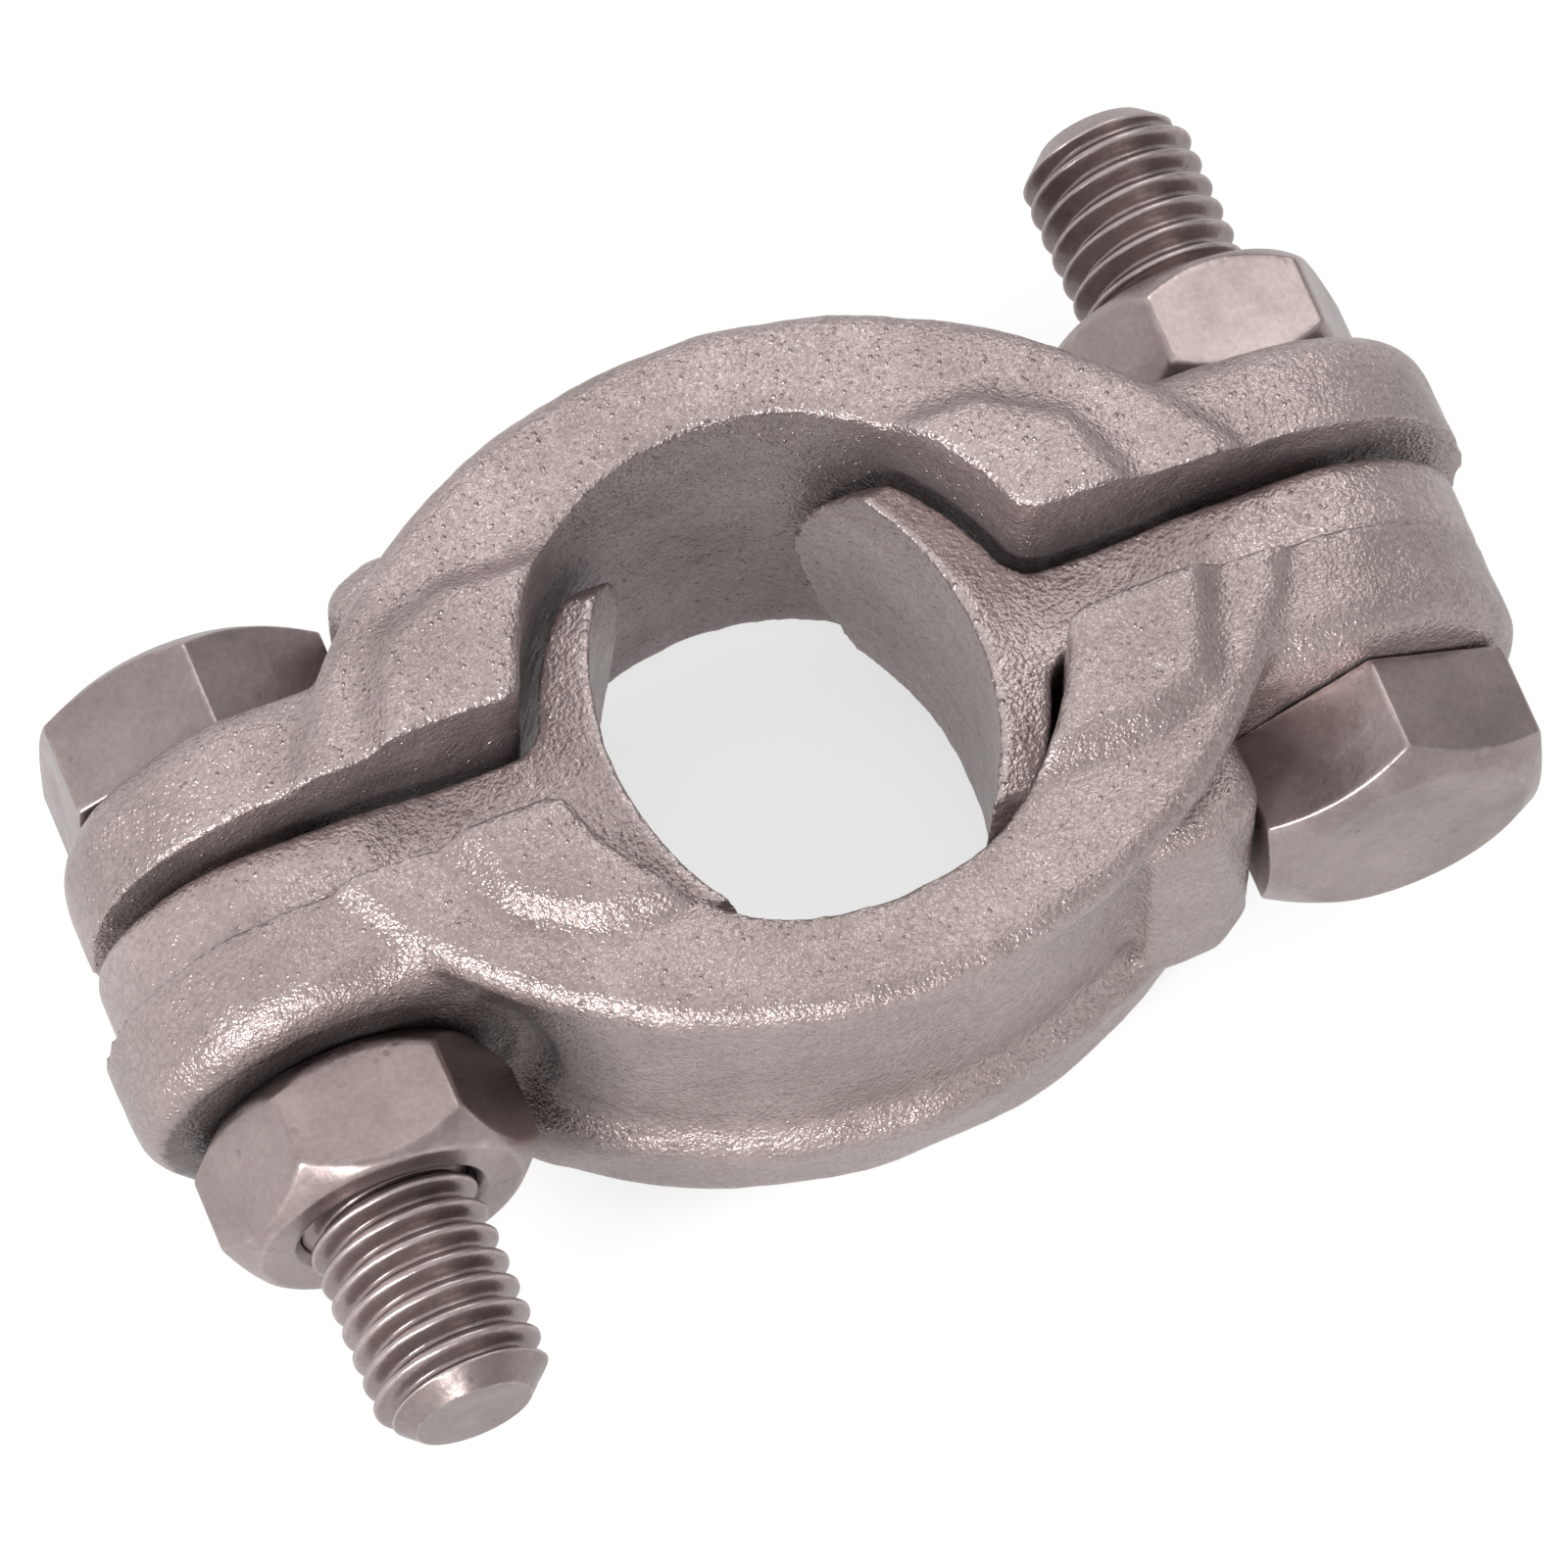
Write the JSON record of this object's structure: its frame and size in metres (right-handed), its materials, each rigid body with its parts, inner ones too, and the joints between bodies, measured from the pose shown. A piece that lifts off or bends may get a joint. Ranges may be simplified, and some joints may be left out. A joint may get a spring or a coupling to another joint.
{
  "type": "double bolt hose clamp",
  "caption": "Cast double bolt clamp whose halves and saddles close round a hose with hex bolts and nuts.",
  "frame": {"origin": "on the hose axis, midway between the two bolts and between the two side faces", "axes": "+Z along the hose axis, +X from the bolt with its nut on the near half to the other bolt, +Y from the near half to the far half along the bolts"},
  "size_m": [0.0664, 0.047, 0.0248],
  "materials": {
    "half_casting": "zinc plated as cast, fine grain",
    "saddle_casting": "zinc plated as cast, coarser grain",
    "bolt_steel": "zinc plated",
    "nut_steel": "zinc plated, smooth"
  },
  "bodies": {
    "near_side": {"near_half": "half_casting", "right_bolt": "bolt_steel", "left_saddle": "saddle_casting", "right_saddle": "saddle_casting"},
    "far_side": {"far_half": "half_casting", "left_bolt": "bolt_steel"},
    "left_nut_body": {"left_nut": "nut_steel"},
    "right_nut_body": {"right_nut": "nut_steel"}
  },
  "joints": [
    {"name": "clamp_opening", "type": "slide", "parent": "near_side", "child": "far_side", "axis": [0, 1, 0], "range_m": [-0.00065, 0.0097]},
    {"name": "left_nut_turn", "type": "hinge", "parent": "near_side", "child": "left_nut_body", "pos_m": [-0.0241, -0.0107, 0], "axis": [0, 1, 0], "range_deg": [-2810, 200]},
    {"name": "right_nut_turn", "type": "hinge", "parent": "far_side", "child": "right_nut_body", "pos_m": [0.0241, 0.0107, 0], "axis": [0, 1, 0], "range_deg": [-200, 2810]}
  ],
  "couplings": [
    {"joint": "left_nut_turn", "follows": "clamp_opening", "rad_per_m": -5026.5},
    {"joint": "right_nut_turn", "follows": "clamp_opening", "rad_per_m": 5026.5}
  ]
}
